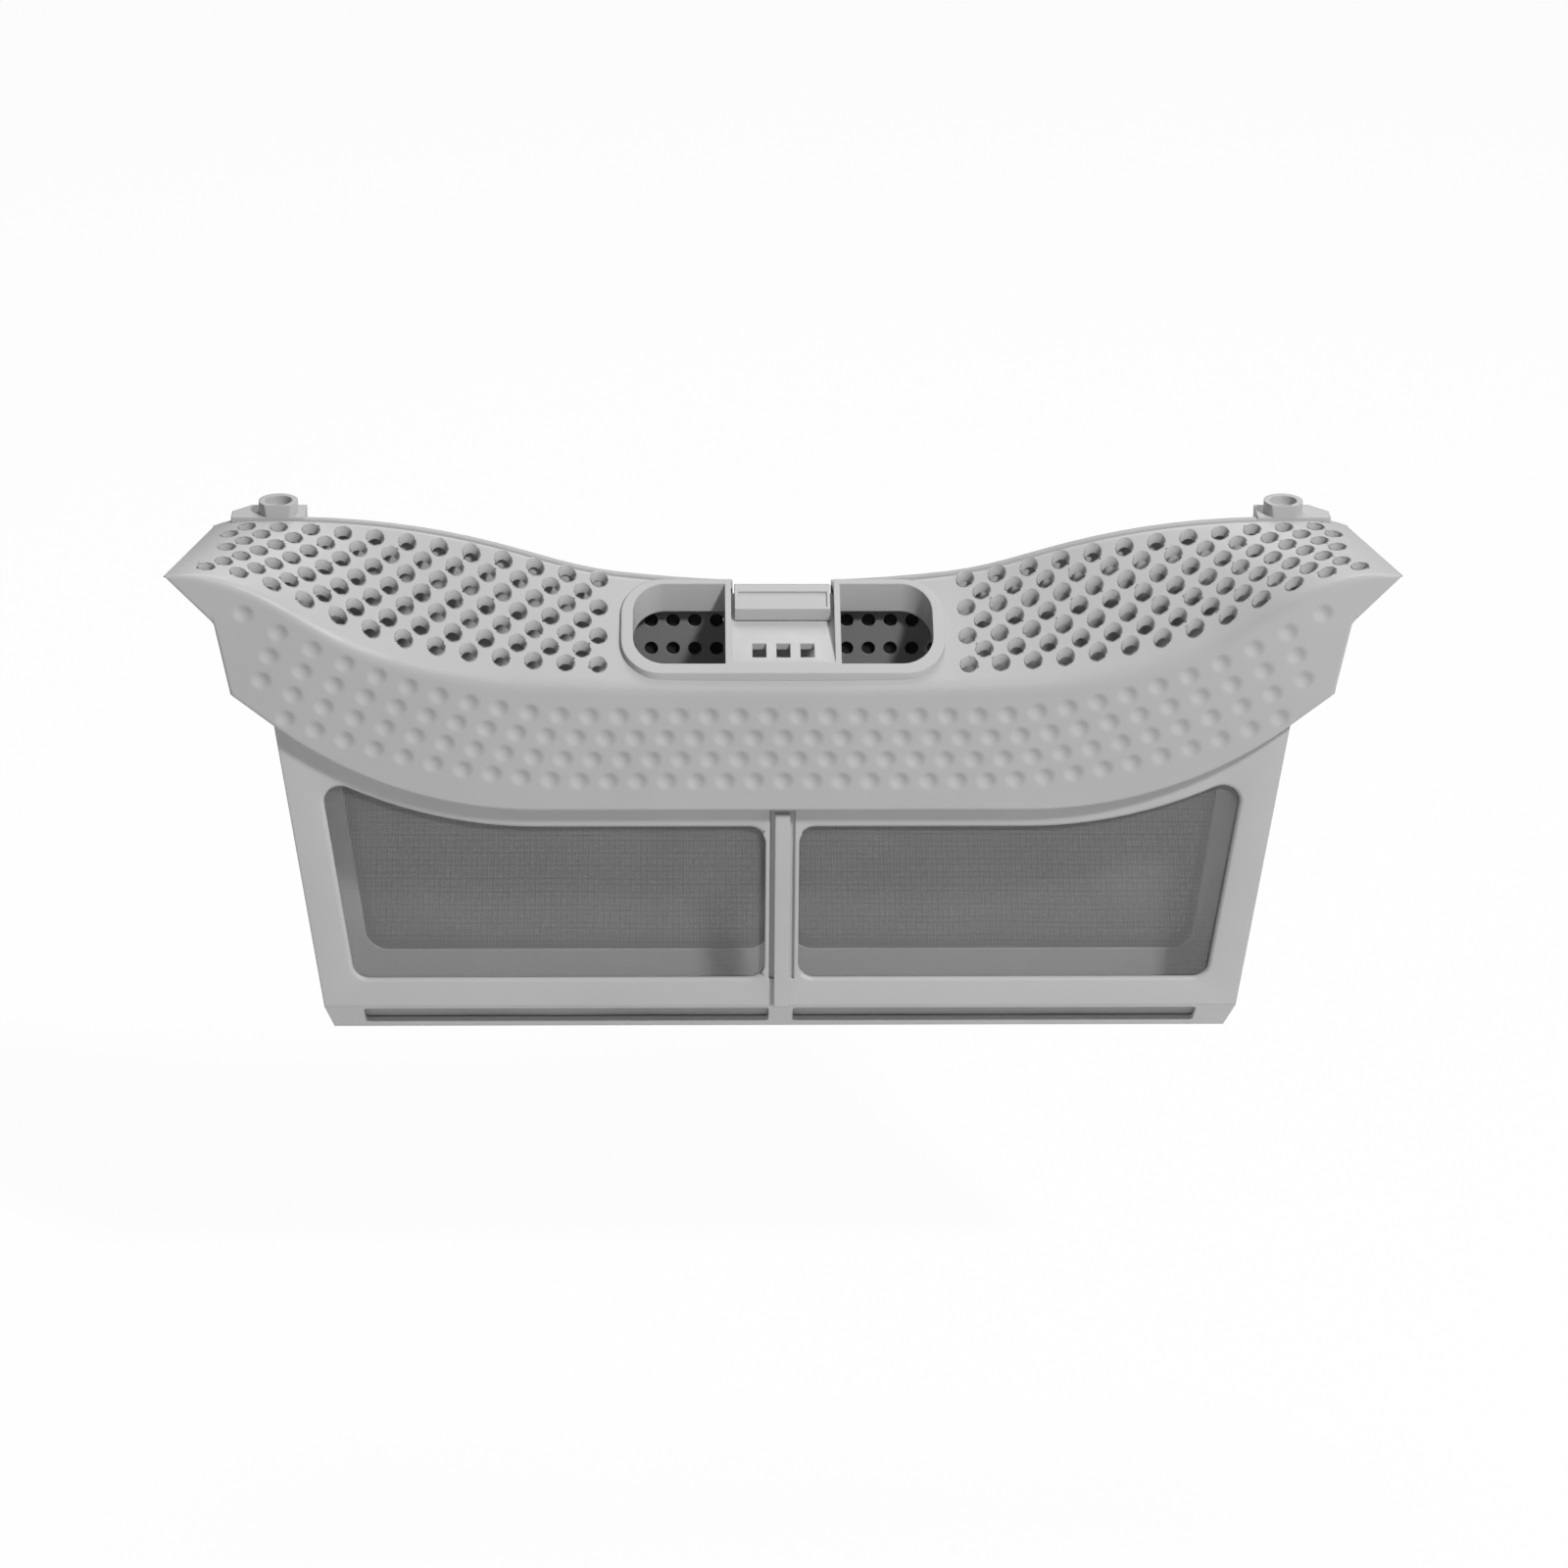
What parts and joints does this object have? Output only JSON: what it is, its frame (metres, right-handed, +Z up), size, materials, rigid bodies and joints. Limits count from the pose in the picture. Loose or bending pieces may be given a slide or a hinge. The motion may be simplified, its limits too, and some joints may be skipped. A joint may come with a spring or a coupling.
{
  "type": "tumble dryer lint filter",
  "caption": "Crescent-headed lint filter with a perforated sloping top, dimpled front and finger grips over a gauze bag that opens like a book about its bottom edge.",
  "frame": {"origin": "under the middle of the filter, at the height of the bag's lowest edge", "axes": "+X along the head to the viewer's right, +Y from the front panel to the door, +Z up out of the dryer"},
  "size_m": [0.395, 0.056, 0.1774],
  "materials": {
    "head_plastic": "fine satin texture, light grey",
    "frame_plastic": "plain satin, light grey",
    "latch_plastic": "plain satin, light grey",
    "guard_plastic": "plain dark grey",
    "gauze": "fine woven grey gauze that can be seen through",
    "spring_steel": "bare spring wire"
  },
  "bodies": {
    "front_half": {"front_frame": "frame_plastic", "head_cover": "head_plastic", "front_mesh_left": "gauze", "front_mesh_right": "gauze", "toe_mesh_left": "gauze", "toe_mesh_right": "gauze"},
    "rear_half": {"rear_frame": "frame_plastic", "rear_mesh_left": "gauze", "rear_mesh_right": "gauze", "finger_guard_left": "guard_plastic", "finger_guard_right": "guard_plastic"},
    "latch": {"latch_hook": "latch_plastic", "latch_spring": "spring_steel"}
  },
  "joints": [
    {"name": "door_hinge", "type": "hinge", "parent": "front_half", "child": "rear_half", "pos_m": [0, -0.006, 0.004], "axis": [-1, 0, 0], "range_deg": [0, 110]},
    {"name": "latch_pivot", "type": "hinge", "parent": "rear_half", "child": "latch", "pos_m": [0, 0.01592, 0.14558], "axis": [-1, 0, 0], "range_deg": [0, 20], "stiffness_Nm_per_rad": 0.02}
  ]
}
